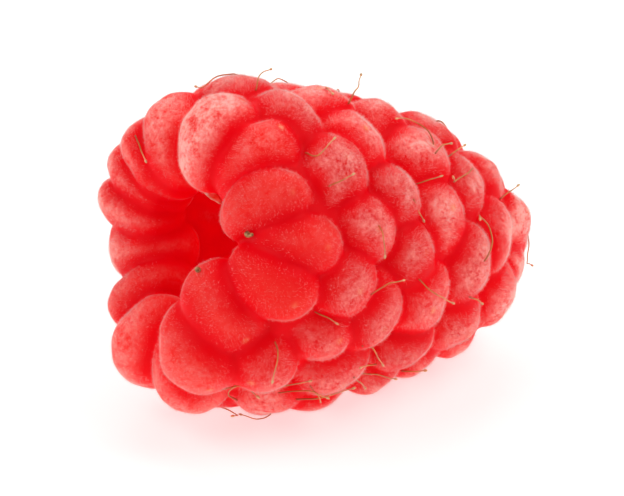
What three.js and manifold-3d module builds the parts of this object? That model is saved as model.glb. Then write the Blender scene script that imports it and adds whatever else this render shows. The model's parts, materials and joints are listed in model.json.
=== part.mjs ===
// A picked raspberry lying on its side, in millimetres: +Z up, the floor at z = 0, its hollow mouth towards -X.
// The fruit is a thick-walled cup of drupelets grown together. It is shaped along its own axis first, from the
// crest of the mouth at 0 to the tip, and then laid down on the floor.
import * as THREE from "three";
import { mergeVertices } from "three/addons/utils/BufferGeometryUtils.js";
import Module from "manifold-3d";

const wasm = await Module();
wasm.setup();

// The whole fruit, measured over the crowns of its drupelets.
const fruitLength = 26.1;
const fruitRadius = 10.4;
const widestAt = 4.5;
const crestRadius = 7.2;
const taperPower = 1.9;
const taperRoundness = 0.5;

// The rows of drupelets from the shoulder to the tip. A drupelet is a little fuller than an ellipsoid, whose
// fullness would be 2, and wider where its neighbours in the row leave it more room.
const firstRowAt = 5.6;
const rowPitch = 3.8;
const drupeletPitch = 4.4;
const widthShare = 0.58;
const leastHalfWidth = 1.9;
const mostHalfWidth = 2.9;
const drupeletHalfLength = 2.4;
const drupeletHalfDepth = 2.7;
const fullness = 2.15;

// The places taken first in each row, as the turn round the axis in degrees and the distance along it. The rest
// of the row is filled evenly.
const firstPlaces = [
  [[70, 4.6], [102, 4.6], [129, 6.1], [154, 7.7], [175, 6.1], [198, 5.8], [216, 2.0], [246, 6.4]],
  [[88, 8.9], [113, 9.0], [140, 10.4], [164, 11.4], [188, 8.9], [219, 8.6]],
  [[92, 13.0], [117, 14.2], [147, 14.5], [183, 12.9], [207, 13.3]],
  [[95, 17.0], [125, 17.5], [168, 17.0], [202, 17.7]],
  [[110, 21.0], [152, 20.3], [197, 21.5]],
  [[130, 23.9], [185, 24.3]],
];

// How far the drupelets stray from their places in the rows.
const strayAlong = 0.3;
const strayAround = 0.35;
const strayOut = 0.2;
const straySize = 0.07;
const strayLean = 0.1;
const seed = 20;
const tipMargin = 0.05;

// How many times an octahedron's edges are split for a drupelet, and how far a joined facet may lie from its own.
const drupeletDetail = 3;
const rimDetail = 4;
const facetTolerance = 0.05;

// The long drupelets that curl over the mouth's rim: the turn of each one's middle in degrees, its distances along
// and from the axis, and its width. The big ones at 203 and 230 bulge over the mouth.
const rimDrupelets = [
  { turn: 140, at: 2.1, radius: 6.6, width: 4.2 },
  { turn: 160, at: 3.2, radius: 7.3, width: 4.3 },
  { turn: 178, at: 1.9, radius: 7.1, width: 4.4 },
  { turn: 203, at: 0.6, radius: 5.6, width: 5.2 },
  { turn: 230, at: 0.2, radius: 6.5, width: 5.1 },
  { turn: 256, at: 1.8, radius: 7.4, width: 4.7 },
  { turn: 283, at: 1.4, radius: 7.2, width: 4.6 },
  { turn: 311, at: 2.6, radius: 6.6, width: 3.7 },
  { turn: 338, at: 3.2, radius: 6.7, width: 4.6 },
  { turn: 359, at: 2.2, radius: 7.0, width: 3.4 },
  { turn: 15, at: 2.2, radius: 7.1, width: 3.2 },
  { turn: 32, at: 2.0, radius: 6.7, width: 3.4 },
  { turn: 50, at: 2.0, radius: 6.6, width: 3.9 },
  { turn: 91, at: 1.6, radius: 6.4, width: 5.0 },
  { turn: 116, at: 2.4, radius: 6.6, width: 4.1 },
];
const rimHalfLength = 2.6;
const rimHalfDepth = 3.1;
const rimStray = 0.1;

// The wall that the drupelets grow together in, and the hollow that the receptacle left.
const coreDepth = 1.5;
const coreTipRadius = 0.6;
const coreRimAt = 2.4;
const coreRimRadius = 7.2;
const coreRimRise = 0.7;
const coreStations = 9;
const coreSides = 24;
const hollowDepth = 18.5;
const hollowRadius = 5.0;
const hollowStations = 6;
const hollowMouthAt = 3.2;
const hollowRoundness = 0.62;

// How the fruit lies: its mouth is lifted, and the drupelets beneath it are pressed flat by its weight.
const restTilt = 15.5;
const pressedDepth = 0.6;

const material = new THREE.MeshStandardMaterial({
  color: 0xd81e2c,
  roughness: 0.5,
  metalness: 0,
});

// Draws numbers from 0 to 1, the same ones each time.
function drawsFrom(start) {
  let state = start;
  return () => {
    state = (Math.imul(state, 1664525) + 1013904223) >>> 0;
    return state / 4294967296;
  };
}

const draw = drawsFrom(seed);
const stray = (most) => (2 * draw() - 1) * most;

// The radius over the crowns at a distance along the axis.
function crownRadius(at) {
  if (at < widestAt) {
    const forward = (widestAt - at) / widestAt;
    return crestRadius + (fruitRadius - crestRadius) * Math.sqrt(1 - forward ** 2);
  }
  const back = Math.min((at - widestAt) / (fruitLength - widestAt), 1);
  return fruitRadius * (1 - back ** taperPower) ** taperRoundness;
}

// The outward direction of the crowns in the plane of the axis, as [along, out].
function crownNormal(at) {
  const step = 0.05;
  const low = Math.max(at - step, 0);
  const high = Math.min(at + step, fruitLength);
  const along = high - low;
  const out = crownRadius(high) - crownRadius(low);
  const length = Math.hypot(along, out);
  return [-out / length, along / length];
}

// The distances along the axis of the rows, a pitch apart over the curve of the crowns.
function rowPlaces() {
  const step = 0.01;
  const places = [firstRowAt];
  let walked = 0;
  for (let at = firstRowAt; at < fruitLength - step; at += step) {
    walked += Math.hypot(step, crownRadius(at + step) - crownRadius(at));
    if (walked >= rowPitch) {
      places.push(at + step);
      walked = 0;
    }
  }
  return places;
}

// A closed geometry as a solid for joining and cutting, without the flat triangles that merging leaves.
function solidOf(geometry) {
  const bare = geometry.clone();
  bare.deleteAttribute("normal");
  bare.deleteAttribute("uv");
  const merged = mergeVertices(bare, 1e-4);
  const corners = Array.from(merged.index.array);
  const kept = [];
  for (let i = 0; i < corners.length; i += 3) {
    const [a, b, c] = corners.slice(i, i + 3);
    if (a !== b && b !== c && c !== a) kept.push(a, b, c);
  }
  return new wasm.Manifold(
    new wasm.Mesh({
      numProp: 3,
      vertProperties: merged.attributes.position.array,
      triVerts: new Uint32Array(kept),
    }),
  );
}

function geometryOf(solid) {
  const mesh = solid.getMesh();
  const geometry = new THREE.BufferGeometry();
  geometry.setAttribute("position", new THREE.BufferAttribute(mesh.vertProperties, 3));
  geometry.setIndex(new THREE.BufferAttribute(mesh.triVerts, 1));
  geometry.computeVertexNormals();
  return geometry;
}

// A drupelet about its own centre, as across, along and deep, with half sizes in the same order.
function drupelet(halves, detail) {
  const geometry = new THREE.OctahedronGeometry(1, detail);
  const corners = geometry.attributes.position;
  const corner = new THREE.Vector3();
  for (let i = 0; i < corners.count; i += 1) {
    corner.fromBufferAttribute(corners, i).normalize();
    const sum = corner.toArray().reduce((total, share) => total + Math.abs(share) ** fullness, 0);
    corner.divideScalar(sum ** (1 / fullness));
    corners.setXYZ(i, corner.x * halves[0], corner.y * halves[1], corner.z * halves[2]);
  }
  return geometry;
}

// A drupelet about its middle, its deep axis leaning a little from the given direction out of the fruit.
function placedDrupelet(place, turn, deep, lean, halves, detail) {
  const axis = new THREE.Vector3(1, 0, 0);
  const round = new THREE.Vector3(0, -Math.sin(turn), Math.cos(turn));
  deep.addScaledVector(round, lean[0]).addScaledVector(axis, lean[1]).normalize();
  const along = new THREE.Vector3().crossVectors(deep, round).normalize();
  const across = new THREE.Vector3().crossVectors(along, deep);
  const geometry = drupelet(halves, detail);
  geometry.applyMatrix4(new THREE.Matrix4().makeBasis(across, along, deep).setPosition(place));
  return solidOf(geometry);
}

function rimRow() {
  return rimDrupelets.map(({ turn, at, radius, width }) => {
    const around = THREE.MathUtils.degToRad(turn);
    const out = new THREE.Vector3(0, Math.cos(around), Math.sin(around));
    const place = out.clone().multiplyScalar(radius + stray(rimStray));
    place.x = at + stray(rimStray);
    const lean = [stray(strayLean), stray(strayLean)];
    return placedDrupelet(place, around, out, lean, [width / 2, rimHalfLength, rimHalfDepth], rimDetail);
  });
}

// A drupelet on the outside, its middle sunk under the crowns.
function outerDrupelet(at, turn, halfWidth, halfLength, sunk, lean) {
  const out = new THREE.Vector3(0, Math.cos(turn), Math.sin(turn));
  const normal = crownNormal(at);
  const deep = new THREE.Vector3(normal[0], 0, 0).addScaledVector(out, normal[1]);
  const place = new THREE.Vector3(at, 0, 0).addScaledVector(out, crownRadius(at)).addScaledVector(deep, -sunk);
  return placedDrupelet(place, turn, deep, lean, [halfWidth, halfLength, drupeletHalfDepth], drupeletDetail);
}

// A row's places, as turn and distance along the axis: those taken first, and then the rest of the way round.
function placesIn(row, rowAt) {
  const taken = (firstPlaces[row] ?? [[0, rowAt]]).map(([turn, at]) => [THREE.MathUtils.degToRad(turn), at]);
  const last = taken[taken.length - 1][0];
  const way = taken[0][0] + 2 * Math.PI - last;
  const gaps = Math.max(1, Math.round((way * crownRadius(rowAt)) / drupeletPitch));
  for (let i = 1; i < gaps; i += 1) {
    const around = last + (way * i) / gaps + stray(strayAround) / Math.max(crownRadius(rowAt), 2);
    taken.push([around, Math.min(rowAt + stray(strayAlong), fruitLength - tipMargin)]);
  }
  return taken;
}

// The rows that cover the outside.
function outerRows() {
  const made = [];
  rowPlaces().forEach((rowAt, row) => {
    const places = placesIn(row, rowAt);
    places.forEach(([turn, at], i) => {
      const before = i === 0 ? places[places.length - 1][0] - 2 * Math.PI : places[i - 1][0];
      const after = i === places.length - 1 ? places[0][0] + 2 * Math.PI : places[i + 1][0];
      const room = ((after - before) / 2) * crownRadius(at);
      const halfWidth = THREE.MathUtils.clamp(room * widthShare, leastHalfWidth, mostHalfWidth);
      const halfLength = drupeletHalfLength * (1 + stray(straySize));
      const sunk = drupeletHalfDepth - stray(strayOut);
      made.push(outerDrupelet(at, turn, halfWidth, halfLength, sunk, [stray(strayLean), stray(strayLean)]));
    });
  });
  return made;
}

// The cup inside the drupelets, turned about the axis.
function core() {
  const outline = [];
  const last = fruitLength - coreDepth;
  for (let i = 0; i <= coreStations; i += 1) {
    const at = last + (coreRimAt - last) * (i / coreStations);
    const radius = Math.max(crownRadius(at * (fruitLength / last)) - coreDepth, coreTipRadius);
    outline.push(new THREE.Vector2(i === 0 ? 0 : radius, at));
  }
  outline.push(new THREE.Vector2(coreRimRadius, coreRimAt - coreRimRise));
  for (let i = 0; i <= hollowStations; i += 1) {
    const share = i / hollowStations;
    const at = hollowMouthAt + (hollowDepth - hollowMouthAt) * share;
    const radius = i === hollowStations ? 0 : hollowRadius * (1 - share ** 2) ** hollowRoundness;
    outline.push(new THREE.Vector2(radius, at));
  }
  const cup = new THREE.LatheGeometry(outline.reverse(), coreSides);
  cup.rotateZ(-Math.PI / 2);
  return solidOf(cup);
}

// The fruit laid on the floor, with what is pressed against the floor cut flat.
function laidDown(solid) {
  const geometry = geometryOf(solid);
  geometry.rotateY(THREE.MathUtils.degToRad(restTilt));
  geometry.computeBoundingBox();
  const { min, max } = geometry.boundingBox;
  geometry.translate(-(min.x + max.x) / 2, -(min.y + max.y) / 2, -min.z - pressedDepth);
  const slab = new THREE.BoxGeometry(4 * fruitLength, 4 * fruitLength, fruitLength);
  slab.translate(0, 0, -fruitLength / 2);
  return solidOf(geometry).subtract(solidOf(slab));
}

// The solid without the pockets that are sealed inside it.
function filled(solid) {
  return solid.decompose().reduce((most, body) => (body.volume() > most.volume() ? body : most));
}

const pieces = [core(), ...rimRow(), ...outerRows()];
const fused = filled(pieces.reduce((joined, piece) => joined.add(piece))).simplify(facetTolerance);

const raspberry = new THREE.Mesh(geometryOf(laidDown(fused)), material);
raspberry.name = "raspberry";

const root = new THREE.Group();
root.add(raspberry);

export default root;
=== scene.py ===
# A picked raspberry lying on its side, with the hollow that its receptacle left open towards the left.
# The fine fruit follows the same rule as the model's solid: a cup of drupelets, shaped along its own axis in
# millimetres, from the crest of the mouth at 0 to the tip, and then laid down on the floor.
import json
import math

import bpy
import numpy as np
from mathutils import Matrix, Vector, noise
from mathutils.bvhtree import BVHTree

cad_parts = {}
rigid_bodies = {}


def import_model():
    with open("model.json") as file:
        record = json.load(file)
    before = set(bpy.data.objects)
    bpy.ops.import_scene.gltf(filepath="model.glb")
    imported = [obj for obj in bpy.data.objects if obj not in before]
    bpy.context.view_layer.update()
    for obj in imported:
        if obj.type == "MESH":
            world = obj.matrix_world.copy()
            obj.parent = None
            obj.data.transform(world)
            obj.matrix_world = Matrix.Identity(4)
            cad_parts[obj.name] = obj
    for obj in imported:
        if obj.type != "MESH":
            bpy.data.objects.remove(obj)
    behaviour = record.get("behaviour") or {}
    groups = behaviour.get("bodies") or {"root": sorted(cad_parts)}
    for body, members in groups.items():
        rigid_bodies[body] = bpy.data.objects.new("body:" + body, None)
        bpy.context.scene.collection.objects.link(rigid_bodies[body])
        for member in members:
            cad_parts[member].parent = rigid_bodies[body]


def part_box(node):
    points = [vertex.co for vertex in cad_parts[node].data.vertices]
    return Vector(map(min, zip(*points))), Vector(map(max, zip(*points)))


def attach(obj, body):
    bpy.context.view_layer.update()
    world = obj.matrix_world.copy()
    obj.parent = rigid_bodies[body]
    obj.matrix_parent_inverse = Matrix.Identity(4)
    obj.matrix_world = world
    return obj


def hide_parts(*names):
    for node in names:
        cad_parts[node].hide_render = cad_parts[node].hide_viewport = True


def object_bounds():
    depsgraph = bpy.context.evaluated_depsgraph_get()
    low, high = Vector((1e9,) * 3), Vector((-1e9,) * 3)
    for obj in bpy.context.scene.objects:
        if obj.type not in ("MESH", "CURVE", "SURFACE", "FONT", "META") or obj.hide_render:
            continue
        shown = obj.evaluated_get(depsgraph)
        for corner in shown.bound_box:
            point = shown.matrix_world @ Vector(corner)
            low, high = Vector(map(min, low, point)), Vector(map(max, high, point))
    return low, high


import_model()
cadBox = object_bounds()

mm = 0.001

fruit = {
    "length": 26.1,  # from the crest of the mouth to the tip
    "radius": 10.4,  # over the crowns of the drupelets
    "widestAt": 4.5,
    "crestRadius": 7.2,
    "taperPower": 1.9,
    "taperRoundness": 0.5,
    "tilt": 15.5,  # how far the mouth is lifted
    "pressed": 0.6,  # how deep the drupelets underneath are pressed flat
}

rows = {
    "firstAt": 5.6,  # where the first row behind the rim would stand
    "pitch": 3.8,  # from row to row along the skin
    "drupeletPitch": 4.4,  # from drupelet to drupelet round the fruit
    "widthShare": 0.58,  # more than half, so that neighbours grow together
    "leastHalfWidth": 1.9,
    "mostHalfWidth": 2.9,
    "halfLength": 2.4,
    "halfDepth": 2.7,
    "fullness": 2.15,  # 2 would be an ellipsoid
    "strayAlong": 0.3,
    "strayAround": 0.35,
    "strayOut": 0.2,
    "straySize": 0.07,
    "strayLean": 0.1,
    "leastRadius": 2,  # near the tip, strays round the fruit are kept as small as at this radius
    "seed": 20,
    "tipMargin": 0.05,
    "faceSteps": 16,
    "bloom": (0.8, 1.5),  # from the first row to the tip
    "rubbedTurn": 200,  # the side that was rubbed has less of it, and less so towards the tip
    "rubbedWidth": 28,
    "rubbedShare": 0.6,
    "strayBloom": 0.15,
    "tintSeed": (313, 9),
    # the places taken first in each row, as the turn round the axis and the distance along it
    "firstPlaces": [
        [(70, 4.6), (102, 4.6), (129, 6.1), (154, 7.7), (175, 6.1), (198, 5.8), (216, 2.0), (246, 6.4)],
        [(88, 8.9), (113, 9.0), (140, 10.4), (164, 11.4), (188, 8.9), (219, 8.6)],
        [(92, 13.0), (117, 14.2), (147, 14.5), (183, 12.9), (207, 13.3)],
        [(95, 17.0), (125, 17.5), (168, 17.0), (202, 17.7)],
        [(110, 21.0), (152, 20.3), (197, 21.5)],
        [(130, 23.9), (185, 24.3)],
    ],
}

rim = {
    # the turn of each one's middle, its distances along and from the axis, its width and its share of bloom
    "drupelets": [
        (140, 2.1, 6.6, 4.2, 0.2), (160, 3.2, 7.3, 4.3, 0.13), (178, 1.9, 7.1, 4.4, 0.06),
        (203, 0.6, 5.6, 5.2, 0.16), (230, 0.2, 6.5, 5.1, 0.3), (256, 1.8, 7.4, 4.7, 0.6),
        (283, 1.4, 7.2, 4.6, 0.5), (311, 2.6, 6.6, 3.7, 0.7), (338, 3.2, 6.7, 4.6, 1.3),
        (359, 2.2, 7.0, 3.4, 1.3), (15, 2.2, 7.1, 3.2, 1.25), (32, 2.0, 6.7, 3.4, 0.9),
        (50, 2.0, 6.6, 3.9, 0.85), (91, 1.6, 6.4, 5.0, 1.25), (116, 2.4, 6.6, 4.1, 0.4),
    ],
    "halfLength": 2.6,
    "halfDepth": 3.1,
    "stray": 0.1,
    "faceSteps": 20,
}

core = {
    "depth": 1.5,  # how deep the wall lies under the crowns
    "tipRadius": 0.6,
    "rimAt": 2.4,
    "rimRadius": 7.2,
    "rimRise": 0.7,
    "stations": 72,
    "sides": 136,
    "hollowDepth": 18.5,
    "hollowMargin": 0.5,  # how far behind the hollow's end the skin may still be the hollow's
    "hollowRadius": 5.0,
    "hollowMouthAt": 3.2,
    "hollowRoundness": 0.62,
    "lipRadius": 5.8,  # the skin turns into the hollow's from this distance to the axis inwards
    "lipWidth": 2.3,
    "lipAt": -0.6,
    "lipLength": 5.5,
    "wallBump": 0.22,  # the hollow's wall bulges between the places where the drupelets were fed
    "wallBumpsRound": 17,
    "wallBumpPitch": 1.7,
}

relief = {
    "swell": 0.26,  # how far a drupelet strays from its ideal form
    "swellSize": 2.0,
    "pucker": 0.07,
    "puckerSize": 0.8,
    "ownPart": (7.3, 3.1, 5.7),  # how far the patterns move on from drupelet to drupelet
    "dimple": 0.12,  # the little pit or point that the style leaves on the crown
    "dimpleRadius": 0.32,
    "pitShare": 0.6,  # of the drupelets that have a pit and no point
    "pointShare": 0.6,  # how high a point is for its dimple's depth
    "scarRadius": 0.17,
    "scarStray": 0.4,
    "scarSeed": (977, 5),
    "evenedTo": 0.19,  # the size of the skin's faces
    "smallFrom": 20.0,  # from here to the tip the drupelets crowd, with narrower creases between them
    "creaseReach": 3,  # the distance to a crease is measured up to here
    "softening": 0.5,
    "softened": 3,
}


# The same numbers from 0 to 1 each time, by a linear congruential rule.
class Draws:
    def __init__(self, start):
        self.state = start

    def next(self):
        self.state = (self.state * 1664525 + 1013904223) & 0xFFFFFFFF
        return self.state / 4294967296

    def stray(self, most):
        return (2 * self.next() - 1) * most


def crownRadius(at):
    if at < fruit["widestAt"]:
        forward = (fruit["widestAt"] - at) / fruit["widestAt"]
        rise = fruit["radius"] - fruit["crestRadius"]
        return fruit["crestRadius"] + rise * math.sqrt(max(1 - forward**2, 0))
    back = min((at - fruit["widestAt"]) / (fruit["length"] - fruit["widestAt"]), 1)
    return fruit["radius"] * (1 - back ** fruit["taperPower"]) ** fruit["taperRoundness"]


# Outward direction of the crowns in the plane of the axis, as (along, out).
def crownNormal(at):
    step = 0.05
    low = max(at - step, 0)
    high = min(at + step, fruit["length"])
    along = high - low
    out = crownRadius(high) - crownRadius(low)
    length = math.hypot(along, out)
    return -out / length, along / length


def rowPlaces():
    step = 0.01
    places = [rows["firstAt"]]
    walked = 0
    at = rows["firstAt"]
    while at < fruit["length"] - step:
        walked += math.hypot(step, crownRadius(at + step) - crownRadius(at))
        if walked >= rows["pitch"]:
            places.append(at + step)
            walked = 0
        at += step
    return places


# A drupelet about its middle, its deep axis leaning a little from the given direction out of the fruit.
def placedDrupelet(kind, place, turn, deep, lean, halves, bloom):
    around = Vector((0, -math.sin(turn), math.cos(turn)))
    deep = (deep + around * lean[0] + Vector((1, 0, 0)) * lean[1]).normalized()
    along = deep.cross(around).normalized()
    across = along.cross(deep)
    basis = np.array([across, along, deep])
    return {"kind": kind, "place": place, "basis": basis, "halves": halves, "bloom": bloom}


def rimRow(draws):
    made = []
    for turn, at, radius, width, bloom in rim["drupelets"]:
        around = math.radians(turn)
        out = Vector((0, math.cos(around), math.sin(around)))
        place = out * (radius + draws.stray(rim["stray"]))
        place.x = at + draws.stray(rim["stray"])
        lean = (draws.stray(rows["strayLean"]), draws.stray(rows["strayLean"]))
        halves = (width / 2, rim["halfLength"], rim["halfDepth"])
        made.append(placedDrupelet("rim", place, around, out, lean, halves, bloom))
    return made


# A row's places, as turn and distance along the axis: those taken first, and then the rest of the way round.
def placesIn(row, rowAt, draws):
    first = rows["firstPlaces"][row] if row < len(rows["firstPlaces"]) else [(0, rowAt)]
    taken = [(math.radians(turn), at) for turn, at in first]
    last = taken[-1][0]
    way = taken[0][0] + 2 * math.pi - last
    gaps = max(1, math.floor(way * crownRadius(rowAt) / rows["drupeletPitch"] + 0.5))
    radius = max(crownRadius(rowAt), rows["leastRadius"])
    for i in range(1, gaps):
        around = last + way * i / gaps + draws.stray(rows["strayAround"]) / radius
        at = rowAt + draws.stray(rows["strayAlong"])
        taken.append((around, min(at, fruit["length"] - rows["tipMargin"])))
    return taken


# How downy an outer drupelet is: more so towards the tip, less where the fruit was rubbed.
def rowBloom(turn, at):
    first, last = rows["bloom"]
    bloom = first + (last - first) * at / fruit["length"]
    away = (math.degrees(turn) % 360 - rows["rubbedTurn"]) / rows["rubbedWidth"]
    rubbed = rows["rubbedShare"] * (1 - at / fruit["length"]) * math.exp(-(away**2))
    return bloom * (1 - rubbed)


def outerRows(draws):
    made = []
    for row, rowAt in enumerate(rowPlaces()):
        places = placesIn(row, rowAt, draws)
        for i, (turn, at) in enumerate(places):
            before = places[i - 1][0] - (2 * math.pi if i == 0 else 0)
            after = places[0][0] + 2 * math.pi if i == len(places) - 1 else places[i + 1][0]
            room = (after - before) / 2 * crownRadius(at)
            halfWidth = min(max(room * rows["widthShare"], rows["leastHalfWidth"]), rows["mostHalfWidth"])
            halfLength = rows["halfLength"] * (1 + draws.stray(rows["straySize"]))
            sunk = rows["halfDepth"] - draws.stray(rows["strayOut"])
            lean = (draws.stray(rows["strayLean"]), draws.stray(rows["strayLean"]))
            out = Vector((0, math.cos(turn), math.sin(turn)))
            normal = crownNormal(at)
            deep = Vector((normal[0], 0, 0)) + out * normal[1]
            place = Vector((at, 0, 0)) + out * crownRadius(at) - deep * sunk
            halves = (halfWidth, halfLength, rows["halfDepth"])
            made.append(placedDrupelet("outer", place, turn, deep, lean, halves, rowBloom(turn, at)))
    return made


# A sphere of radius 1 in squares, even all over, as points and faces.
def cubeSphere(steps):
    found = {}
    points = []
    faces = []
    sides = [(0, 1, 2, 1), (0, 1, 2, -1), (1, 2, 0, 1), (1, 2, 0, -1), (2, 0, 1, 1), (2, 0, 1, -1)]
    for a, b, c, way in sides:
        grid = []
        for i in range(steps + 1):
            for j in range(steps + 1):
                corner = [0, 0, 0]
                corner[a] = math.tan((i / steps - 0.5) * math.pi / 2)
                corner[b] = math.tan((j / steps - 0.5) * math.pi / 2)
                corner[c] = way
                direction = Vector(corner).normalized()
                key = tuple(round(share, 6) + 0.0 for share in direction)
                if key not in found:
                    found[key] = len(points)
                    points.append(direction)
                grid.append(found[key])
        for i in range(steps):
            for j in range(steps):
                k = i * (steps + 1) + j
                face = [grid[k], grid[k + steps + 1], grid[k + steps + 2], grid[k + 1]]
                faces.append(face if way > 0 else face[::-1])
    return np.array(points), faces


def fullness(points):
    power = rows["fullness"]
    return (np.abs(points) ** power).sum(axis=1) ** (1 / power)


# Where a drupelet's style stood on its crown, and how far the skin sinks or rises there.
def styleScar(index):
    step, start = relief["scarSeed"]
    draws = Draws(index * step + start)
    sinks = draws.next() < relief["pitShare"]
    depth = -relief["dimple"] if sinks else relief["dimple"] * relief["pointShare"]
    return np.array([draws.stray(relief["scarStray"]), draws.stray(relief["scarStray"])]), depth


# A drupelet's own swellings, and the pit or point of its style, as heights over its ideal form.
def reliefOf(directions, halves, index):
    shift = Vector([index * step for step in relief["ownPart"]])
    sized = directions * np.array(halves)
    rises = []
    for point in sized:
        spot = Vector(point)
        swell = noise.noise(spot / relief["swellSize"] + shift) * relief["swell"]
        pucker = noise.noise(spot / relief["puckerSize"] + shift) * relief["pucker"]
        rises.append(swell + pucker)
    rises = np.array(rises)
    centre, depth = styleScar(index)
    apart = np.linalg.norm(sized[:, :2] - centre, axis=1)
    onCrown = directions[:, 2] > 0
    rises += onCrown * depth * np.exp(-((apart / relief["dimpleRadius"]) ** 2))
    return rises


# The points of a drupelet in the fruit's own frame.
def drupeletPoints(drupelet, directions, index):
    halves = np.array(drupelet["halves"])
    shaped = directions / fullness(directions)[:, None] * halves
    shaped = shaped + directions * reliefOf(directions, drupelet["halves"], index)[:, None]
    return np.array(drupelet["place"]) + shaped @ drupelet["basis"]


# How far points lie from a drupelet's middle, 1 being on its skin.
def levelOf(drupelet, points):
    local = (points - np.array(drupelet["place"])) @ drupelet["basis"].T
    return fullness(local / np.array(drupelet["halves"]))


# The hollow's radius at a distance along the axis.
def hollowRadius(at):
    share = (at - core["hollowMouthAt"]) / (core["hollowDepth"] - core["hollowMouthAt"])
    return core["hollowRadius"] * max(1 - max(share, 0) ** 2, 0) ** core["hollowRoundness"]


# How far the hollow's wall bulges inwards, in rows that are half a bump round from each other.
def wallBump(at, turn):
    row = at / core["wallBumpPitch"]
    bumps = 0.5 + 0.5 * math.cos(core["wallBumpsRound"] * turn + math.pi * math.floor(row))
    return core["wallBump"] * bumps * math.sin(math.pi * (row % 1))


# The cup that the drupelets grow from, turned about the axis.
def coreMesh():
    last = fruit["length"] - core["depth"]
    outline = []
    for i in range(core["stations"]):
        at = core["rimAt"] + (last - core["rimAt"]) * i / core["stations"]
        outline.append((at, max(crownRadius(at * fruit["length"] / last) - core["depth"], core["tipRadius"])))
    outline.reverse()
    outline.append((core["rimAt"] - core["rimRise"], core["rimRadius"]))
    for i in range(core["stations"]):
        at = core["hollowMouthAt"] + (core["hollowDepth"] - core["hollowMouthAt"]) * i / core["stations"]
        outline.append((at, hollowRadius(at)))
    points = [(last, 0, 0)]
    for ring, (at, radius) in enumerate(outline):
        inWall = ring > core["stations"] + 1
        for side in range(core["sides"]):
            turn = 2 * math.pi * side / core["sides"]
            inward = wallBump(at, turn) if inWall else 0
            points.append((at, (radius - inward) * math.cos(turn), (radius - inward) * math.sin(turn)))
    points.append((core["hollowDepth"], 0, 0))
    faces = []
    sides = core["sides"]
    for side in range(sides):
        after = (side + 1) % sides
        faces.append((0, 1 + after, 1 + side))
        for ring in range(len(outline) - 1):
            start = 1 + ring * sides
            faces.append((start + side, start + after, start + sides + after, start + sides + side))
        start = 1 + (len(outline) - 1) * sides
        faces.append((start + side, start + after, len(points) - 1))
    return points, faces


def newObject(name, points, faces):
    mesh = bpy.data.meshes.new(name)
    mesh.from_pydata([tuple(point) for point in points], [], [tuple(face) for face in faces])
    mesh.update()
    return bpy.data.objects.new(name, mesh)


def readVectors(data, name):
    values = np.empty(len(data) * 3)
    data.foreach_get(name, values)
    return values.reshape(-1, 3)


def smoothFaces(mesh):
    for polygon in mesh.polygons:
        polygon.use_smooth = True


def applyModifiers(body):
    graph = bpy.context.evaluated_depsgraph_get()
    mesh = bpy.data.meshes.new_from_object(body.evaluated_get(graph))
    body.modifiers.clear()
    body.data = mesh


# The drupelets and the cup joined in one skin.
def fusedFruit(placed):
    body = newObject("raspberryFlesh", *coreMesh())
    bpy.context.scene.collection.objects.link(body)
    joined = bpy.data.collections.new("drupelets")
    bpy.context.scene.collection.children.link(joined)
    spheres = {"outer": cubeSphere(rows["faceSteps"]), "rim": cubeSphere(rim["faceSteps"])}
    for index, drupelet in enumerate(placed):
        directions, faces = spheres[drupelet["kind"]]
        joined.objects.link(newObject("drupelet", drupeletPoints(drupelet, directions, index), faces))
    union = body.modifiers.new("union", "BOOLEAN")
    union.operation = "UNION"
    union.operand_type = "COLLECTION"
    union.collection = joined
    union.solver = "MANIFOLD"
    applyModifiers(body)
    for piece in list(joined.objects):
        bpy.data.objects.remove(piece, do_unlink=True)
    bpy.data.collections.remove(joined)
    return body


# The skin in even faces, its creases a little softened.
def evenSkin(body):
    remesh = body.modifiers.new("even", "REMESH")
    remesh.mode = "VOXEL"
    remesh.voxel_size = relief["evenedTo"]
    smooth = body.modifiers.new("soften", "SMOOTH")
    smooth.factor = relief["softening"]
    smooth.iterations = relief["softened"]
    applyModifiers(body)


# What the skin's finish needs to know at each point: how far it is from a crease, what its drupelet is like
# and how deep in the hollow it lies.
def measureSkin(mesh, placed):
    points = readVectors(mesh.vertices, "co")
    levels = np.stack([levelOf(drupelet, points) for drupelet in placed])
    order = np.argsort(levels, axis=0)
    nearest = order[0]
    first = np.take_along_axis(levels, order[:1], axis=0)[0]
    second = np.take_along_axis(levels, order[1:2], axis=0)[0]
    nearTip = np.clip((points[:, 0] - relief["smallFrom"]) / (fruit["length"] - relief["smallFrom"]), 0, 1)
    fromCrease = (second - first) * rows["halfLength"] * (1 + nearTip)
    step, start = rows["tintSeed"]
    tints = np.array([Draws(index * step + start).next() for index in range(len(placed))])
    onRim = np.array([drupelet["kind"] == "rim" for drupelet in placed], dtype=float)
    blooms = np.array([drupelet["bloom"] for drupelet in placed])
    blooms *= 1 + rows["strayBloom"] * (2 * tints - 1)
    radius = np.hypot(points[:, 1], points[:, 2])
    inside = np.clip((core["lipRadius"] - radius) / core["lipWidth"], 0, 1)
    inside *= np.clip((points[:, 0] - core["lipAt"]) / core["lipLength"], 0, 1)
    inside *= points[:, 0] < core["hollowDepth"] + core["hollowMargin"]
    scar = np.zeros(len(points))
    for index, drupelet in enumerate(placed):
        own = nearest == index
        local = (points[own] - np.array(drupelet["place"])) @ drupelet["basis"].T
        centre, _ = styleScar(index)
        apart = np.linalg.norm(local[:, :2] - centre, axis=1)
        scar[own] = (local[:, 2] > 0) * np.exp(-((apart / relief["scarRadius"]) ** 2))
    values = {
        "fromCrease": np.clip(fromCrease, 0, relief["creaseReach"]),
        "scar": scar,
        "bloom": blooms[nearest],
        "tint": tints[nearest],
        "onRim": onRim[nearest],
        "inside": inside,
    }
    for name, value in values.items():
        attribute = mesh.attributes.new(name, "FLOAT", "POINT")
        attribute.data.foreach_set("value", value.astype(np.float32))
    return points


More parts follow.
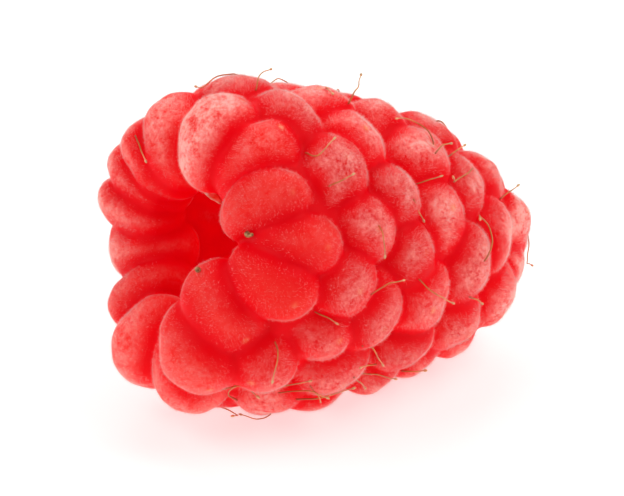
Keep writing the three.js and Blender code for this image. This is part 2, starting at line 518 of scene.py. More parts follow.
# The fruit's own millimetres to the frame's metres, lying on the floor in the CAD fruit's place.
def layDown(points):
    low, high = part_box("raspberry")
    tilt = math.radians(fruit["tilt"])
    turned = points @ np.array(Matrix.Rotation(tilt, 3, "Y")).T
    middle = (turned.min(axis=0) + turned.max(axis=0)) / 2
    place = np.array([
        (low[0] + high[0]) / 2 / mm - middle[0],
        (low[1] + high[1]) / 2 / mm - middle[1],
        low[2] / mm - turned[:, 2].min() - fruit["pressed"],
    ])
    return turned, place


draws = Draws(rows["seed"])
placed = rimRow(draws) + outerRows(draws)
print("drupelets", len(placed))
flesh = fusedFruit(placed)
evenSkin(flesh)
fruitPoints = measureSkin(flesh.data, placed)
turned, lieAt = layDown(fruitPoints)
laid = (turned + lieAt) * mm
laid[:, 2] = np.maximum(laid[:, 2], 0)
flesh.data.vertices.foreach_set("co", laid.ravel())
flesh.data.update()
smoothFaces(flesh.data)
print("flesh", len(flesh.data.vertices), "points", len(flesh.data.polygons), "faces")


# An sRGB hex value as the linear colour that a shader takes.
def fromHex(code):
    shares = [int(code[i:i + 2], 16) / 255 for i in (1, 3, 5)]
    linear = [share / 12.92 if share <= 0.04045 else ((share + 0.055) / 1.055) ** 2.4 for share in shares]
    return (*linear, 1)


# A node with its settings, its values and its links, each by name. A link is given as an output socket.
def addNode(tree, kind, settings=None, values=None, links=None):
    node = tree.nodes.new(kind)
    for name, value in (settings or {}).items():
        setattr(node, name, value)
    for name, value in (values or {}).items():
        node.inputs[name].default_value = value
    for name, socket in (links or {}).items():
        tree.links.new(socket, node.inputs[name])
    return node


# A pattern's scale for features of this many millimetres.
def perMm(size):
    return 1 / (size * mm)


# A material with its node tree empty, and the tree.
def newMaterial(name):
    material = bpy.data.materials.new(name)
    material.use_nodes = True
    material.node_tree.nodes.clear()
    return material, material.node_tree


skin = {
    "crease": "#DC000E",
    "crown": "#D60E16",
    "crownPale": "#F8B4AA",
    "rimOrange": "#EE2A1E",
    "scar": "#E8A070",
    "hollow": "#B2000A",
    "paintedGlowColour": "#F00010",  # painted glow: the colour of a red emission that stands in for light coming back out through the flesh
    # painted glow strengths: a little more in the creases than on the crowns, more again on the lip and in
    # the hollow
    "creasePaintedGlow": 0.22,
    "crownPaintedGlow": 0.2,
    "lipPaintedGlow": 0.3,
    "hollowPaintedGlow": 0.29,
    "lipShare": 0.72,  # from the outside to here the skin is the drupelets', and then the hollow's
    "crownFrom": (0.3, 1.9),  # from the crease's red to the crown's, as distances from the crease
    "rimWarmth": 0.6,
    "scatter": 0.85,
    "scatterReach": 1.6,
    "scatterShares": (1.0, 0.07, 0.05),  # red light comes far through the juice, the others hardly
    "ior": 1.4,
    "roughness": 0.45,
    "specular": 0.1,
    "velvet": 1.0,
    "velvetFrom": (0.22, 0.7),  # from a crease to where the down is full
    "velvetRoughness": 0.22,
    "velvetTint": "#FFE2DA",
    # the size of the features, the noise's detail and its roughness
    "patterns": {"mottle": (0.26, 5.0, 0.7), "patches": (0.9, 3.0, 0.6), "grain": (0.1, 2.0, 0.5)},
    "patchShare": 0.4,
    "cloudFrom": (0.39, 0.63),  # the stretch of the pattern that the bloom goes over
    "bloomFrom": (0.03, 0.97),
    "valueFrom": (0.9, 1.05),  # from the darkest drupelet to the lightest
    "grainStrength": 0.25,
    "grainDepth": 0.05,
}


# Ripe raspberry skin: thin, moist and downy over clear red juice, so light goes in and comes out redder, and
# the crowns carry a pale bloom.
# A painted red glow (emission, no lamp) lights the creases, the crowns, the lip and the hollow from within.
def raspberrySkin():
    material, tree = newMaterial("raspberrySkin")
    place = addNode(tree, "ShaderNodeTexCoord").outputs["Object"]
    marks = {}
    for name in ("fromCrease", "scar", "bloom", "tint", "onRim", "inside"):
        marks[name] = addNode(tree, "ShaderNodeAttribute", {"attribute_name": name}).outputs["Fac"]
    patterns = {}
    for name, (size, detail, roughness) in skin["patterns"].items():
        patterns[name] = addNode(tree, "ShaderNodeTexNoise", None,
                                 {"Scale": perMm(size), "Detail": detail, "Roughness": roughness},
                                 {"Vector": place}).outputs["Fac"]
    crown = addNode(tree, "ShaderNodeMapRange", {"interpolation_type": "SMOOTHSTEP"},
                    {"From Min": skin["crownFrom"][0], "From Max": skin["crownFrom"][1]},
                    {"Value": marks["fromCrease"]}).outputs["Result"]
    cloud = addNode(tree, "ShaderNodeMix", {"data_type": "FLOAT"}, {"Factor": skin["patchShare"]},
                    {"A": patterns["mottle"], "B": patterns["patches"]}).outputs["Result"]
    bloom = addNode(tree, "ShaderNodeMapRange", None,
                    {"From Min": skin["cloudFrom"][0], "From Max": skin["cloudFrom"][1],
                     "To Min": skin["bloomFrom"][0], "To Max": skin["bloomFrom"][1]},
                    {"Value": cloud}).outputs["Result"]
    bloomOnCrown = addNode(tree, "ShaderNodeMath", {"operation": "MULTIPLY"}, None,
                           {0: bloom, 1: crown}).outputs[0]
    bloomShare = addNode(tree, "ShaderNodeMath", {"operation": "MULTIPLY"}, None,
                         {0: bloomOnCrown, 1: marks["bloom"]}).outputs[0]
    rimOnCrown = addNode(tree, "ShaderNodeMath", {"operation": "MULTIPLY"}, None,
                         {0: marks["onRim"], 1: crown}).outputs[0]
    rimShare = addNode(tree, "ShaderNodeMath", {"operation": "MULTIPLY"}, {1: skin["rimWarmth"]},
                       {0: rimOnCrown}).outputs[0]
    scarShare = addNode(tree, "ShaderNodeMath", {"operation": "MULTIPLY"}, None,
                        {0: marks["scar"], 1: marks["tint"]}).outputs[0]
    inHollow = addNode(tree, "ShaderNodeMapRange", None, {"From Min": skin["lipShare"]},
                       {"Value": marks["inside"]}).outputs["Result"]
    colour = addNode(tree, "ShaderNodeMix", {"data_type": "RGBA"},
                     {"A": fromHex(skin["crease"]), "B": fromHex(skin["crown"])}, {"Factor": crown})
    coats = [("rimOrange", rimShare), ("crownPale", bloomShare), ("scar", scarShare), ("hollow", inHollow)]
    for name, share in coats:
        colour = addNode(tree, "ShaderNodeMix", {"data_type": "RGBA"}, {"B": fromHex(skin[name])},
                         {"Factor": share, "A": colour.outputs["Result"]})
    value = addNode(tree, "ShaderNodeMapRange", None,
                    {"To Min": skin["valueFrom"][0], "To Max": skin["valueFrom"][1]},
                    {"Value": marks["tint"]})
    varied = addNode(tree, "ShaderNodeHueSaturation", None, None,
                     {"Color": colour.outputs["Result"], "Value": value.outputs["Result"]})
    velvet = addNode(tree, "ShaderNodeMapRange", None,
                     {"From Min": skin["velvetFrom"][0], "From Max": skin["velvetFrom"][1],
                      "To Max": skin["velvet"]}, {"Value": marks["fromCrease"]})
    # Painted glow: a red emission, a little stronger in the creases than on the crowns, rising over the lip
    # and into the hollow.
    paintedGlow = addNode(tree, "ShaderNodeMapRange", None,
                   {"To Min": skin["creasePaintedGlow"], "To Max": skin["crownPaintedGlow"]},
                   {"Value": crown}).outputs["Result"]
    paintedGlowOnLip = addNode(tree, "ShaderNodeMapRange", None,
                        {"From Max": skin["lipShare"], "To Max": skin["lipPaintedGlow"]},
                        {"Value": marks["inside"], "To Min": paintedGlow}).outputs["Result"]
    paintedGlowInside = addNode(tree, "ShaderNodeMapRange", None, {"To Max": skin["hollowPaintedGlow"]},
                         {"Value": inHollow, "To Min": paintedGlowOnLip}).outputs["Result"]
    bump = addNode(tree, "ShaderNodeBump", None,
                   {"Strength": skin["grainStrength"], "Distance": skin["grainDepth"] * mm},
                   {"Height": patterns["grain"]})
    shader = addNode(tree, "ShaderNodeBsdfPrincipled", None, {
        "Roughness": skin["roughness"],
        "IOR": skin["ior"],
        "Subsurface Weight": skin["scatter"],
        "Subsurface Scale": skin["scatterReach"] * mm,
        "Subsurface Radius": skin["scatterShares"],
        "Specular IOR Level": skin["specular"],
        "Emission Color": fromHex(skin["paintedGlowColour"]),
        "Sheen Roughness": skin["velvetRoughness"],
        "Sheen Tint": fromHex(skin["velvetTint"]),
    }, {
        "Sheen Weight": velvet.outputs["Result"],
        "Base Color": varied.outputs["Color"],
        "Normal": bump.outputs["Normal"],
        "Emission Strength": paintedGlowInside,
    })
    addNode(tree, "ShaderNodeOutputMaterial", None, None, {"Surface": shader.outputs["BSDF"]})
    return material


flesh.name = "raspberryFlesh"
flesh.data.materials.clear()
flesh.data.materials.append(raspberrySkin())
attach(flesh, "root")
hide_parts("raspberry")
print("skin done")

# The skin as it lies, for what stands on it.
skinTree = BVHTree.FromObject(flesh, bpy.context.evaluated_depsgraph_get())
lieTurn = Matrix.Rotation(math.radians(fruit["tilt"]), 3, "Y")
lieShift = Vector(lieAt)


# A place on the fruit, given as turn, distance along the axis and distance from it, on the floor in metres.
def laidPlace(turn, at, radius):
    around = math.radians(turn)
    return (lieTurn @ Vector((at, radius * math.cos(around), radius * math.sin(around))) + lieShift) * mm


# A place moved onto the skin and then this high over it.
def overSkin(place, height):
    near, normal, _, _ = skinTree.find_nearest(place)
    return near + normal * height


def joinedMesh(name, pieces):
    points = []
    faces = []
    for piecePoints, pieceFaces in pieces:
        start = len(points)
        points += piecePoints
        faces += [tuple(start + corner for corner in face) for face in pieceFaces]
    return newObject(name, points, faces)


# A round thread along a path, with a radius at each of its places.
def threadAlong(path, radii, sides):
    points = []
    faces = []
    across = Vector((0.31, 0.52, 0.79))  # any way but the thread's own
    for i, place in enumerate(path):
        ahead = (path[min(i + 1, len(path) - 1)] - path[max(i - 1, 0)]).normalized()
        across = (across - ahead * across.dot(ahead)).normalized()
        up = ahead.cross(across)
        for side in range(sides):
            turn = 2 * math.pi * side / sides
            points.append(place + (across * math.cos(turn) + up * math.sin(turn)) * radii[i])
    for i in range(len(path) - 1):
        for side in range(sides):
            after = (side + 1) % sides
            start = i * sides
            faces.append((start + side, start + after, start + sides + after, start + sides + side))
    faces.append(tuple(range(sides))[::-1])
    faces.append(tuple(range(len(points) - sides, len(points))))
    return points, faces


# A smooth path of a number of steps through given places.
def smoothPath(places, steps):
    ends = [places[0] * 2 - places[1]] + places + [places[-1] * 2 - places[-2]]
    path = []
    for i in range(steps + 1):
        way = i / steps * (len(places) - 1)
        leg = min(int(way), len(places) - 2)
        share = way - leg
        a, b, c, d = ends[leg:leg + 4]
        path.append(0.5 * (2 * b + (c - a) * share + (2 * a - 5 * b + 4 * c - d) * share**2
                           + (3 * b - a - 3 * c + d) * share**3))
    return path


styles = {
    "radius": 0.05,
    "strayThick": 0.2,  # as a share of the radii
    "tipRadius": 0.032,
    "knobRadius": 0.08,
    "knobLength": 0.26,
    "knobEnd": 0.012,
    "knobSteps": (0.12, 0.3, 0.5, 0.7, 0.88, 1.0),  # as shares of its length
    "steps": 14,
    "sides": 7,
    "length": (1.3, 3.6),
    "rootSunk": 0.05,
    "foot": (0.05, 0.02),  # how high over the skin a loose one and a long one start
    "stands": (0.25, 0.9),  # how high a loose one's end stands: the least, and what a draw adds
    "lift": 1.3,  # over 1, it keeps to the skin first and rises late
    "share": 0.55,  # of the drupelets that still have theirs
    "shareInView": 0.1,
    "longTurns": (85, 240),  # the side where the long ones are
    "looseFrom": 3,  # along the axis
    "curl": 1.5,
    "wave": 0.12,
    "waveSize": 1.1,
    "waveSpan": 0.7,  # 1 would hold the end in its place as the root is held
    "ownPart": (5.1, 2.3, 8.7),  # how far the waves' pattern moves on from style to style
    "overBox": 0.35,  # how far one may stand out of the model's box
    "seed": 71,
    # long ones, each as places on the skin (turn, along, out) and how high its end stands over it
    "long": [
        ([(97, 9.4, 9.4), (94, 9.8, 9.6), (88, 10.4, 9.6)], 1.9),
        ([(123, 4.1, 9.0), (127, 4.4, 9.6), (123, 5.5, 9.9)], 0.4),
        ([(202, 2.4, 8.8), (205, 2.5, 9.4), (212, 2.4, 10.1)], 0.35),
        ([(186, 4.4, 8.7), (187, 5.6, 9.3)], 0.3),
        ([(198, 8.2, 9.7), (204, 9.8, 9.6), (211, 11.4, 8.9)], 0.3),
        ([(172, 11.2, 9.3), (178, 12.5, 9.5), (181, 13.9, 9.0)], 0.5),
        ([(143, 10.9, 9.5), (151, 11.9, 8.6)], 0.2),
        ([(133, 12.7, 8.0), (130, 13.9, 8.5)], 0.35),
        ([(177, 7.1, 10.1), (175, 8.7, 9.6), (172, 10.2, 9.1)], 0.3),
        ([(130, 20.8, 5.8), (124, 22.0, 5.4)], 1.0),
        ([(37, -0.2, 7.6), (43, -0.4, 5.7)], 0.12),
        ([(249, 4.5, 9.5), (242, 3.4, 9.6), (236, 2.6, 9.4)], 0.25),
        ([(83, 4.1, 9.4), (78, 4.8, 9.7), (75, 5.8, 9.9)], 0.7),
        ([(138, 4.7, 9.3), (135, 6.0, 9.9)], 0.2),
        ([(123, 13.9, 9.2), (118, 14.9, 8.9), (115, 15.8, 8.6)], 0.5),
        ([(182, 16.6, 8.0), (188, 18.1, 7.5)], 0.3),
        ([(214, 9.0, 9.9), (221, 10.4, 9.6), (228, 11.9, 8.9)], 0.6),
        ([(229, 15.0, 8.4), (223, 15.8, 8.2)], 0.6),
        ([(214, 11.5, 8.7), (211, 10.0, 9.4), (209, 8.8, 9.7)], 0.3),
        ([(118, 16.0, 7.9), (112, 17.5, 7.3)], 0.6),
        ([(226, 3.0, 9.6), (223, 4.4, 9.9), (219, 5.8, 10.0)], 0.25),
        ([(229, 5.2, 10.0), (225, 6.6, 10.1), (222, 7.8, 10.0)], 0.3),
        ([(232, 7.0, 10.2), (227, 8.2, 10.2), (221, 9.6, 9.8)], 0.3),
        ([(222, 6.4, 10.0), (226, 7.6, 10.1), (232, 8.6, 10.1)], 0.3),
        ([(236, 1.4, 9.0), (231, 2.4, 9.5), (227, 3.2, 9.7)], 0.25),
        ([(218, 10.6, 9.6), (222, 11.8, 9.2), (224, 13.4, 8.9)], 0.35),
    ],
    # the colours along it, by the share of its length at which they are reached
    "colours": [(0.0, "#C0561A"), (0.5, "#DC8C3C"), (1.0, "#F0C08A")],
    "stainSize": 0.6,
    "stainFrom": (0.3, 0.7),
    "stainTo": (0.65, 1.1),
    "roughness": 0.4,
    "ior": 1.5,
    "scatter": 0.3,
    "scatterReach": 0.1,
}


# The radii of a style from its base to the knob at its end, and the path with the knob's own places added.
def withKnob(path, radius, knobRadius):
    last = len(path) - 1
    radii = [(radius + (styles["tipRadius"] - radius) * i / last) * mm for i in range(len(path))]
    ahead = (path[-1] - path[-2]).normalized()
    end = path[-1]
    for share in styles["knobSteps"]:
        path.append(end + ahead * styles["knobLength"] * share * mm)
        roundness = math.sqrt(math.sin(math.pi * min(share * 0.8 + 0.2, 0.995)))  # of a drop
        radii.append(max(knobRadius * roundness, styles["knobEnd"]) * mm)
    return path, radii


# A path a little crooked, more so towards its end.
def waved(path, index):
    shift = Vector([index * step for step in styles["ownPart"]])
    moved = []
    for i, place in enumerate(path):
        share = i / (len(path) - 1)
        wave = noise.noise_vector(place / mm / styles["waveSize"] + shift) * styles["wave"] * mm
        moved.append(place + wave * math.sin(math.pi * (share * styles["waveSpan"])))
    return moved


# A path drawn in towards its root until it keeps within the model's box, but for a little.
def drawnIn(path, over):
    root = path[0]
    share = 1.0
    for place in path:
        for i in range(3):
            reach = place[i] - root[i]
            room = (cadBox[1][i] + over - root[i]) if reach > 0 else (cadBox[0][i] - over - root[i])
            if abs(reach) > abs(room):
                share = min(share, room / reach)
    return [root + (place - root) * share for place in path]


# A style that grows from a drupelet's crown and curls over the skin.
def looseStyle(drupelet, draws):
    halves = drupelet["halves"]
    crown = Vector(drupelet["place"]) + Vector(drupelet["basis"][2]) * halves[2]
    place = (lieTurn @ crown + lieShift) * mm
    shortest, longest = styles["length"]
    length = shortest + (longest - shortest) * draws.next()
    least, more = styles["stands"]
    stands = least + more * draws.next() ** 2
    heading = Vector((draws.stray(1), draws.stray(1), draws.stray(1)))
    curl = draws.stray(styles["curl"])
    step = length / styles["steps"] * mm
    path = [overSkin(place, -styles["rootSunk"] * mm)]
    at = path[0]
    for i in range(styles["steps"]):
        _, normal, _, _ = skinTree.find_nearest(at)
        heading = (heading - normal * heading.dot(normal)).normalized()
        heading = Matrix.Rotation(curl / styles["steps"], 3, normal) @ heading
        at = at + heading * step
        share = (i + 1) / styles["steps"]
        path.append(overSkin(at, (styles["foot"][0] + stands * share ** styles["lift"]) * mm))
    return path


# The side that the long styles leave free.
def hiddenSide(drupelet):
    x, y, z = drupelet["place"]
    first, last = styles["longTurns"]
    turn = math.degrees(math.atan2(z, y)) % 360
    return not first < turn < last and x > styles["looseFrom"]


def makeStyles():
    draws = Draws(styles["seed"])
    noise.seed_set(styles["seed"])  # else the waves would start from the time and differ in each run
    pieces = []
    along = []
    paths = []
    for places, height in styles["long"]:
        laidPlaces = []
        for i, place in enumerate(places):
            share = i / (len(places) - 1)
            rise = styles["foot"][1] + height * share ** styles["lift"]
            laidPlaces.append(overSkin(laidPlace(*place), rise * mm))
        paths.append(smoothPath(laidPlaces, styles["steps"]))
    for drupelet in placed:
        keeps = styles["share"] if hiddenSide(drupelet) else styles["shareInView"]
        if draws.next() < keeps:
            paths.append(looseStyle(drupelet, draws))
    for index, path in enumerate(paths):
        path = drawnIn(waved(path, index), styles["overBox"] * mm)
        thick = 1 + draws.stray(styles["strayThick"])
        path, radii = withKnob(path, styles["radius"] * thick, styles["knobRadius"] * thick)
        pieces.append(threadAlong(path, radii, styles["sides"]))
        knobFrom = len(path) - len(styles["knobSteps"])
        along += [i / knobFrom for i in range(len(path)) for _ in range(styles["sides"])]
    made = joinedMesh("driedStyles", pieces)
    attribute = made.data.attributes.new("along", "FLOAT", "POINT")
    attribute.data.foreach_set("value", np.array(along, dtype=np.float32))
    smoothFaces(made.data)
    print("styles", len(paths))
    return made


# Dried styles: thin horny threads, amber where the light comes through, with a paler knob at the end.
def styleMaterial():
    material, tree = newMaterial("driedStyle")
    place = addNode(tree, "ShaderNodeTexCoord").outputs["Object"]
    along = addNode(tree, "ShaderNodeAttribute", {"attribute_name": "along"}).outputs["Fac"]
    ramp = addNode(tree, "ShaderNodeValToRGB", None, None, {"Fac": along})
    stops = ramp.color_ramp.elements
    stops.new(styles["colours"][1][0])
    for stop, (share, colour) in zip(stops, styles["colours"]):
        stop.position = share
        stop.color = fromHex(colour)
    stain = addNode(tree, "ShaderNodeTexNoise", None, {"Scale": perMm(styles["stainSize"]), "Detail": 2.0},
                    {"Vector": place}).outputs["Fac"]
    darker = addNode(tree, "ShaderNodeMapRange", None,
                     {"From Min": styles["stainFrom"][0], "From Max": styles["stainFrom"][1],
                      "To Min": styles["stainTo"][0], "To Max": styles["stainTo"][1]}, {"Value": stain})
    stained = addNode(tree, "ShaderNodeHueSaturation", None, None,
                      {"Color": ramp.outputs["Color"], "Value": darker.outputs["Result"]})
    shader = addNode(tree, "ShaderNodeBsdfPrincipled", None, {
        "Roughness": styles["roughness"],
        "IOR": styles["ior"],
        "Subsurface Weight": styles["scatter"],
        "Subsurface Scale": styles["scatterReach"] * mm,
    }, {"Base Color": stained.outputs["Color"]})
    addNode(tree, "ShaderNodeOutputMaterial", None, None, {"Surface": shader.outputs["BSDF"]})
    return material


def addPiece(piece, material):
    bpy.context.scene.collection.objects.link(piece)
    piece.data.materials.append(material)
    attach(piece, "root")


addPiece(makeStyles(), styleMaterial())

stubs = {
    # the turn, the distances along and out, the heading in the skin and the length
    "places": [(154, 0.3, 6.45, 60, 0.55), (184, -1.15, 3.9, 200, 0.5)],
    "radius": 0.17,
    "leastRadius": 0.05,
    "taper": 0.35,
    "endShares": (0.5, 0.4),  # of its radius at its root and at its end
    "sunk": 0.1,
    "rise": (0.1, 0.28),  # over the skin at its root, and how much more it arches
    "steps": 9,
    "sides": 10,
    "knot": 0.06,
    "knotSize": 0.25,
    "ownPart": 4.7,  # how far the knots' pattern moves on from stub to stub
    "dark": "#6E4620",
    "light": "#D9A86E",
    "stainSize": 0.2,
    "stainFrom": (0.35, 0.65),
    "wrinkle": 0.6,
    "wrinkleDepth": 0.04,
    "roughness": 0.75,
}


# The foot of a style that broke off and dried, knotty and bent over.
def makeStubs():
    pieces = []
    for index, (turn, at, out, heading, length) in enumerate(stubs["places"]):
        root = overSkin(laidPlace(turn, at, out), -stubs["sunk"] * mm)
        _, normal, _, _ = skinTree.find_nearest(root)
        way = Matrix.Rotation(math.radians(heading), 3, normal) @ normal.orthogonal().normalized()
        path = []
        radii = []
        for i in range(stubs["steps"] + 1):
            share = i / stubs["steps"]
            rise = stubs["rise"][0] + stubs["rise"][1] * math.sin(math.pi * share * 0.8)
            path.append(root + way * length * share * mm + normal * rise * mm)
            spot = Vector((share * length / stubs["knotSize"], index * stubs["ownPart"], 0))
            knot = noise.noise(spot) * stubs["knot"]
            radius = stubs["radius"] * (1 - stubs["taper"] * share) + knot
            radii.append(max(radius, stubs["leastRadius"]) * mm)
        radii[0] *= stubs["endShares"][0]
        radii[-1] *= stubs["endShares"][1]
        pieces.append(threadAlong(path, radii, stubs["sides"]))
    made = joinedMesh("driedStubs", pieces)
    smoothFaces(made.data)
    return made


# Dried brown-olive stubs: matt, wrinkled and darker where they broke.
def stubMaterial():
    material, tree = newMaterial("driedStub")
    place = addNode(tree, "ShaderNodeTexCoord").outputs["Object"]
    stain = addNode(tree, "ShaderNodeTexNoise", None, {"Scale": perMm(stubs["stainSize"]), "Detail": 3.0},
                    {"Vector": place}).outputs["Fac"]
    spread = addNode(tree, "ShaderNodeMapRange", None,
                     {"From Min": stubs["stainFrom"][0], "From Max": stubs["stainFrom"][1]},
                     {"Value": stain}).outputs["Result"]
    colour = addNode(tree, "ShaderNodeMix", {"data_type": "RGBA"},
                     {"A": fromHex(stubs["dark"]), "B": fromHex(stubs["light"])}, {"Factor": spread})
    bump = addNode(tree, "ShaderNodeBump", None,
                   {"Strength": stubs["wrinkle"], "Distance": stubs["wrinkleDepth"] * mm}, {"Height": stain})
    shader = addNode(tree, "ShaderNodeBsdfPrincipled", None, {"Roughness": stubs["roughness"]},
                     {"Base Color": colour.outputs["Result"], "Normal": bump.outputs["Normal"]})
    addNode(tree, "ShaderNodeOutputMaterial", None, None, {"Surface": shader.outputs["BSDF"]})
    return material


addPiece(makeStubs(), stubMaterial())

shred = {
    # its middle line, as turn, distance along and distance out, with its half width there
    "line": [(58, 2.4, 4.1, 0.35), (62, 2.4, 3.6, 0.5), (70, 2.4, 3.1, 0.55), (80, 2.45, 2.75, 0.45),
             (90, 2.5, 2.6, 0.15)],
    # the outline across it, as shares of its half width and its thickness
    "section": [(-1, 0), (-0.4, 0.8), (0.4, 1), (1, 0), (0.4, -0.7), (-0.4, -0.9)],
    "thickness": 0.09,
    "steps": 18,
    "ragged": 0.1,
    "raggedSteps": (0.9, 1.7),  # how fast the tear changes along it and round it
    "raggedPart": 3.1,  # which part of the pattern it takes
    "pale": "#F6C8B0",
    "red": "#E8604C",
    "juiceSize": 0.35,
    "juiceFrom": (0.4, 0.7),
    "roughness": 0.4,
    "scatter": 0.6,
    "scatterReach": 0.4,
}


# The shred of the receptacle that hangs from the upper rim into the mouth.
def makeShred():
    places = [laidPlace(turn, at, out) for turn, at, out, _ in shred["line"]]
    widths = [width for _, _, _, width in shred["line"]]
    around = len(shred["section"])
    path = smoothPath(places, shred["steps"])
    across = (lieTurn @ Vector((1, 0, 0))).normalized()
    points = []
    faces = []
    for i, place in enumerate(path):
        way = i / shred["steps"] * (len(widths) - 1)
        leg = min(int(way), len(widths) - 2)
        half = widths[leg] + (widths[leg + 1] - widths[leg]) * (way - leg)
        ahead = (path[min(i + 1, len(path) - 1)] - path[max(i - 1, 0)]).normalized()
        side = (across - ahead * across.dot(ahead)).normalized()
        up = ahead.cross(side)
        for k, (along, rise) in enumerate(shred["section"]):
            spot = Vector((i * shred["raggedSteps"][0], k * shred["raggedSteps"][1], shred["raggedPart"]))
            torn = noise.noise(spot) * shred["ragged"]
            points.append(place + side * (half + torn) * along * mm + up * rise * shred["thickness"] * mm)
    for i in range(len(path) - 1):
        start = i * around
        for k in range(around):
            after = (k + 1) % around
            faces.append((start + k, start + after, start + around + after, start + around + k))
    faces.append(tuple(range(around))[::-1])
    faces.append(tuple(range(len(points) - around, len(points))))
    made = newObject("receptacleShred", points, faces)
    smoothFaces(made.data)
    return made


# Torn receptacle: moist white pith that has taken up some juice.
def shredMaterial():
    material, tree = newMaterial("juicyPith")
    place = addNode(tree, "ShaderNodeTexCoord").outputs["Object"]
    juice = addNode(tree, "ShaderNodeTexNoise", None, {"Scale": perMm(shred["juiceSize"]), "Detail": 3.0},
                    {"Vector": place}).outputs["Fac"]
    spread = addNode(tree, "ShaderNodeMapRange", None,
                     {"From Min": shred["juiceFrom"][0], "From Max": shred["juiceFrom"][1]},
                     {"Value": juice}).outputs["Result"]
    colour = addNode(tree, "ShaderNodeMix", {"data_type": "RGBA"},
                     {"A": fromHex(shred["pale"]), "B": fromHex(shred["red"])}, {"Factor": spread})
    shader = addNode(tree, "ShaderNodeBsdfPrincipled", None, {
        "Roughness": shred["roughness"],
        "Subsurface Weight": shred["scatter"],
        "Subsurface Scale": shred["scatterReach"] * mm,
    }, {"Base Color": colour.outputs["Result"]})
    addNode(tree, "ShaderNodeOutputMaterial", None, None, {"Surface": shader.outputs["BSDF"]})
    return material


addPiece(makeShred(), shredMaterial())

down = {
    # name, on the rim or not, hairs per mm2, shortest and longest
    "pieces": [("fruitDownRim", 1, 330, 0.05, 0.19), ("fruitDownOuter", 0, 300, 0.07, 0.22)],
    "width": 0.0075,
    "rootSunk": 0.02,
    "lean": 0.45,
    "fromCrease": (0.3, 0.6),  # none nearer to a crease than the first, and all from the second on
    "patchSize": 0.5,
    "patchShare": 0.7,
    "patchSpread": (0.5, 1.4),  # how full it is in the pattern's middle, and how far the pattern sways it
    "rubbedOff": 0.3,  # what is left of it where there is no bloom
    "insideTo": 0.3,  # none further into the mouth than this
    "offFloor": 0.25,  # none lower than this, where the fruit lies on it
    "seed": 41,
    "colour": "#FFE6DF",
    "roughness": 0.6,
    "ior": 1.5,
}


def pointValues(mesh, name):
    values = np.empty(len(mesh.vertices))
    mesh.attributes[name].data.foreach_get("value", values)
    return values


# The down on the skin: each hair one thin leaf, set at random and in patches all over the outside.
def makeDown(mesh, name, rimValue, perSquareMm, shortest, longest):
    corners = np.empty(len(mesh.loop_triangles) * 3, dtype=np.int64)
    mesh.loop_triangles.foreach_get("vertices", corners)
    corners = corners.reshape(-1, 3)
    areas = np.empty(len(mesh.loop_triangles))
    mesh.loop_triangles.foreach_get("area", areas)
    places = readVectors(mesh.vertices, "co")
    normals = readVectors(mesh.vertex_normals, "vector")
    none, full = down["fromCrease"]
    middle, spread = down["patchSpread"]
    patches = np.array([noise.noise(Vector(place) / mm / down["patchSize"]) for place in places])
    share = np.clip((pointValues(mesh, "fromCrease") - none) / (full - none), 0, 1)
    share *= np.clip(1 - down["patchShare"] + down["patchShare"] * (middle + spread * patches), 0, 1)
    share *= np.clip(down["rubbedOff"] + (1 - down["rubbedOff"]) * pointValues(mesh, "bloom"), 0, 1)
    share *= np.clip(1 - pointValues(mesh, "inside") / down["insideTo"], 0, 1)
    share[places[:, 2] < down["offFloor"] * mm] = 0
    share[pointValues(mesh, "onRim") != rimValue] = 0
    areas *= share[corners].mean(axis=1)
    rng = np.random.default_rng(down["seed"] + rimValue)
    count = int(areas.sum() / mm**2 * perSquareMm)
    chosen = corners[rng.choice(len(areas), count, p=areas / areas.sum())]
    shares = rng.dirichlet((1, 1, 1), count)
    roots = (places[chosen] * shares[:, :, None]).sum(axis=1)
    out = (normals[chosen] * shares[:, :, None]).sum(axis=1)
    lean = rng.normal(size=(count, 3)) * down["lean"] / math.sqrt(3)
    way = out + lean
    way /= np.linalg.norm(way, axis=1)[:, None]
    across = np.cross(way, rng.normal(size=(count, 3)))
    across /= np.linalg.norm(across, axis=1)[:, None]
    lengths = rng.uniform(shortest, longest, count)[:, None] * mm
    half = across * down["width"] / 2 * mm
    sunk = roots - out * down["rootSunk"] * mm
    points = np.stack([sunk - half, sunk + half, roots + way * lengths], axis=1).reshape(-1, 3)
    faces = np.arange(count * 3).reshape(-1, 3)
    made = newObject(name, points.tolist(), faces.tolist())
    print(name, count, "hairs")
    return made


# Down: short colourless hairs, which show as a pale bloom where the skin turns away.
def downMaterial():
    material, tree = newMaterial("fruitDown")
    shader = addNode(tree, "ShaderNodeBsdfPrincipled", None,
                     {"Base Color": fromHex(down["colour"]), "Roughness": down["roughness"],
                      "IOR": down["ior"]})
    addNode(tree, "ShaderNodeOutputMaterial", None, None, {"Surface": shader.outputs["BSDF"]})
    return material


flesh.data.calc_loop_triangles()
hairs = downMaterial()
for facts in down["pieces"]:
    addPiece(makeDown(flesh.data, *facts), hairs)

studio = {
    "azimuth": -35,
    "elevation": 25,
    "distance": 450,
    "frameWidth": 38.36,  # the width of the picture at the fruit, in mm
    "lookAt": (-0.6, 0.41, 8.95),
    "sensor": 36,
    "clip": (10, 10000),  # the nearest and the furthest that the camera sees
    "floor": "#C8C7C4",
    "floorHalf": 2000,
    "floorRoughness": 0.7,
    "floorGlow": 0.62,  # the card is lit a little from behind, as a light table is
    "roomGlow": 0.3,
    "lightsAway": 350,
    "lightsHigh": 10,
    # name, azimuth, elevation, size in mm and power in W
    "lights": [
        ("keyLight", 45, 50, 240, 0.55),
        ("backLight", 150, 45, 260, 0.4),
        ("sideLight", -105, 42, 240, 0.46),
    ],
}


# The way from the fruit to a viewer or a light.
def viewDirection(azimuth, elevation):
    a = math.radians(azimuth)
    e = math.radians(elevation)
    return Vector((math.sin(a) * math.cos(e), -math.cos(a) * math.cos(e), math.sin(e)))


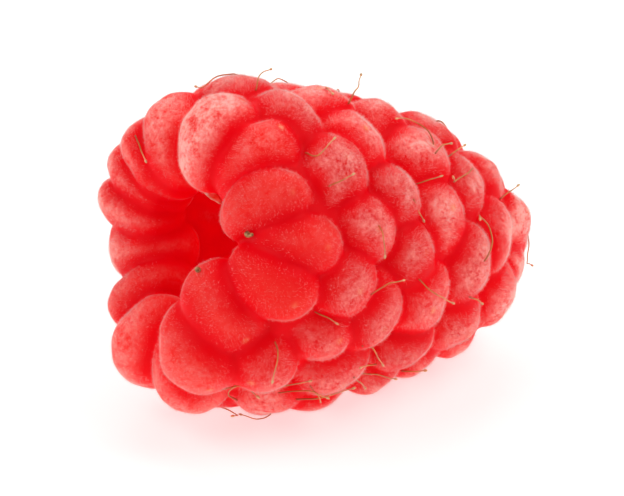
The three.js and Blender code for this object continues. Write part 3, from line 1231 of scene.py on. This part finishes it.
def setFloor():
    size = studio["floorHalf"] * mm
    corners = [(-size, -size, 0), (size, -size, 0), (size, size, 0), (-size, size, 0)]
    floor = newObject("floor", corners, [(0, 1, 2, 3)])
    bpy.context.scene.collection.objects.link(floor)
    material, tree = newMaterial("paleCard")
    shader = addNode(tree, "ShaderNodeBsdfPrincipled", None, {
        "Base Color": fromHex(studio["floor"]),
        "Roughness": studio["floorRoughness"],
        "Emission Color": (1, 1, 1, 1),
        "Emission Strength": studio["floorGlow"],
    })
    addNode(tree, "ShaderNodeOutputMaterial", None, None, {"Surface": shader.outputs["BSDF"]})
    floor.data.materials.append(material)


def setCamera():
    camera = bpy.data.objects.new("camera", bpy.data.cameras.new("camera"))
    bpy.context.scene.collection.objects.link(camera)
    target = Vector(studio["lookAt"]) * mm
    back = viewDirection(studio["azimuth"], studio["elevation"])
    camera.location = target + back * studio["distance"] * mm
    camera.rotation_euler = back.to_track_quat("Z", "Y").to_euler()
    camera.data.sensor_fit = "HORIZONTAL"
    camera.data.sensor_width = studio["sensor"]
    camera.data.lens = studio["sensor"] * studio["distance"] / studio["frameWidth"]
    camera.data.clip_start = studio["clip"][0] * mm
    camera.data.clip_end = studio["clip"][1] * mm
    bpy.context.scene.camera = camera


# A square soft light, placed by azimuth and elevation round the fruit.
def setLight(name, azimuth, elevation, size, power):
    light = bpy.data.objects.new(name, bpy.data.lights.new(name, "AREA"))
    bpy.context.scene.collection.objects.link(light)
    way = viewDirection(azimuth, elevation)
    light.location = way * studio["lightsAway"] * mm + Vector((0, 0, studio["lightsHigh"] * mm))
    light.rotation_euler = way.to_track_quat("Z", "Y").to_euler()
    light.data.size = size * mm
    light.data.energy = power


def setWorld():
    world = bpy.data.worlds.new("paleRoom")
    bpy.context.scene.world = world
    world.use_nodes = True
    background = world.node_tree.nodes["Background"]
    background.inputs["Color"].default_value = (1, 1, 1, 1)
    background.inputs["Strength"].default_value = studio["roomGlow"]


setFloor()
setCamera()
setWorld()
for facts in studio["lights"]:
    setLight(*facts)
bpy.context.scene.view_settings.view_transform = "Standard"
print("studio done")
